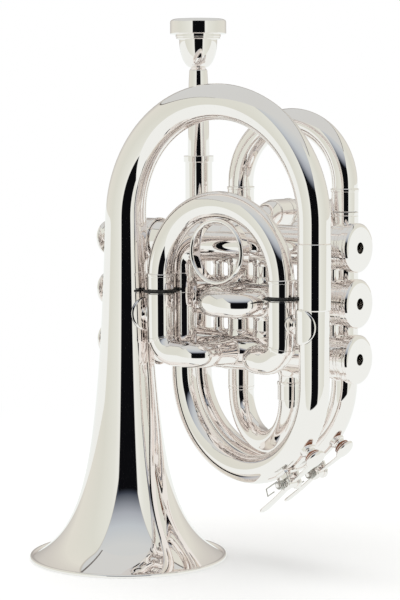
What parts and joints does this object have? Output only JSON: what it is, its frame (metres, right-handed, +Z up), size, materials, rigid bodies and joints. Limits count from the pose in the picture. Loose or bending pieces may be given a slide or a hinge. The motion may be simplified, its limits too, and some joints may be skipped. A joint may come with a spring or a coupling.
{
  "type": "pocket trumpet",
  "caption": "Silver-plated pocket trumpet with three piston valves, a bell bow over the valves, pull slides, a finger ring, water keys and a removable mouthpiece.",
  "frame": {"origin": "centre of the bell's mouth, in the plane of its rim", "axes": "+Z up the bell's axis, +X along the valves towards their bottom caps, +Y to the player's right"},
  "size_m": [0.164, 0.1218, 0.259],
  "materials": {
    "silver_plate": "mirror-polished silver plate",
    "piston_metal": "honed nickel alloy",
    "spring_steel": "bright wire",
    "rubber": "smooth black",
    "cork": "fine cork, matt",
    "pearl": "mother of pearl"
  },
  "bodies": {
    "instrument": {"bell": "silver_plate", "bell_bow": "silver_plate", "bell_leg": "silver_plate", "front_bottom_bow": "silver_plate", "back_bottom_bow": "silver_plate", "small_bottom_bow": "silver_plate", "bell_riser": "silver_plate", "valve_casing_1": "silver_plate", "valve_casing_2": "silver_plate", "valve_casing_3": "silver_plate", "top_cap_1": "silver_plate", "top_cap_2": "silver_plate", "top_cap_3": "silver_plate", "bottom_cap_1": "silver_plate", "bottom_cap_2": "silver_plate", "bottom_cap_3": "silver_plate", "leadpipe": "silver_plate", "mouthpiece_receiver": "silver_plate", "tuning_sleeve_left": "silver_plate", "tuning_sleeve_right": "silver_plate", "third_valve_port": "silver_plate", "first_sleeve_1": "silver_plate", "first_sleeve_2": "silver_plate", "second_sleeve_1": "silver_plate", "second_sleeve_2": "silver_plate", "third_sleeve_left": "silver_plate", "third_sleeve_right": "silver_plate", "brace_left": "silver_plate", "brace_right": "silver_plate", "water_nipple_front": "silver_plate", "water_saddle_front": "silver_plate", "water_nipple_back": "silver_plate", "water_saddle_back": "silver_plate", "piston_spring_1": "spring_steel", "piston_spring_2": "spring_steel", "piston_spring_3": "spring_steel", "water_key_spring_front": "spring_steel", "water_key_spring_back": "spring_steel"},
    "mouthpiece": {"mouthpiece": "silver_plate"},
    "valve_1": {"piston_1": "piston_metal", "finger_button_1": "silver_plate", "button_inlay_1": "pearl"},
    "valve_2": {"piston_2": "piston_metal", "finger_button_2": "silver_plate", "button_inlay_2": "pearl"},
    "valve_3": {"piston_3": "piston_metal", "finger_button_3": "silver_plate", "button_inlay_3": "pearl"},
    "tuning_slide": {"tuning_slide": "silver_plate"},
    "first_slide": {"first_slide": "silver_plate"},
    "second_slide": {"second_slide": "silver_plate"},
    "third_slide": {"third_slide": "silver_plate", "finger_ring": "silver_plate", "stop_ring_left": "rubber", "stop_ring_right": "rubber"},
    "water_key_front": {"water_key_front": "silver_plate", "water_cork_front": "cork"},
    "water_key_back": {"water_key_back": "silver_plate", "water_cork_back": "cork"}
  },
  "joints": [
    {"name": "mouthpiece_pull", "type": "slide", "parent": "instrument", "child": "mouthpiece", "axis": [0, 0, 1], "range_m": [0, 0.025]},
    {"name": "valve_1_press", "type": "slide", "parent": "instrument", "child": "valve_1", "axis": [1, 0, 0], "range_m": [0, 0.0165], "stiffness_N_per_m": 120, "springref_m": -0.02, "deforming": ["piston_spring_1"]},
    {"name": "valve_2_press", "type": "slide", "parent": "instrument", "child": "valve_2", "axis": [1, 0, 0], "range_m": [0, 0.0165], "stiffness_N_per_m": 120, "springref_m": -0.02, "deforming": ["piston_spring_2"]},
    {"name": "valve_3_press", "type": "slide", "parent": "instrument", "child": "valve_3", "axis": [1, 0, 0], "range_m": [0, 0.0165], "stiffness_N_per_m": 120, "springref_m": -0.02, "deforming": ["piston_spring_3"]},
    {"name": "tuning_slide_pull", "type": "slide", "parent": "instrument", "child": "tuning_slide", "axis": [0, 0, 1], "range_m": [0, 0.03]},
    {"name": "first_slide_pull", "type": "slide", "parent": "instrument", "child": "first_slide", "axis": [0, 1, 0], "range_m": [0, 0.006]},
    {"name": "second_slide_pull", "type": "slide", "parent": "instrument", "child": "second_slide", "axis": [0, -1, 0], "range_m": [0, 0.008]},
    {"name": "third_slide_throw", "type": "slide", "parent": "instrument", "child": "third_slide", "axis": [0, 0, 1], "range_m": [0, 0.018]},
    {"name": "water_key_front_lift", "type": "hinge", "parent": "instrument", "child": "water_key_front", "pos_m": [0.09468, 0.00243, 0.04593], "axis": [0.1676, 0.9859, 0], "range_deg": [0, 16], "stiffness_Nm_per_rad": 0.03, "springref_deg": -34.38, "deforming": ["water_key_spring_front"]},
    {"name": "water_key_back_lift", "type": "hinge", "parent": "instrument", "child": "water_key_back", "pos_m": [0.07867, 0.04722, 0.0426], "axis": [0, 1, 0], "range_deg": [0, 16], "stiffness_Nm_per_rad": 0.03, "springref_deg": -34.38, "deforming": ["water_key_spring_back"]}
  ]
}
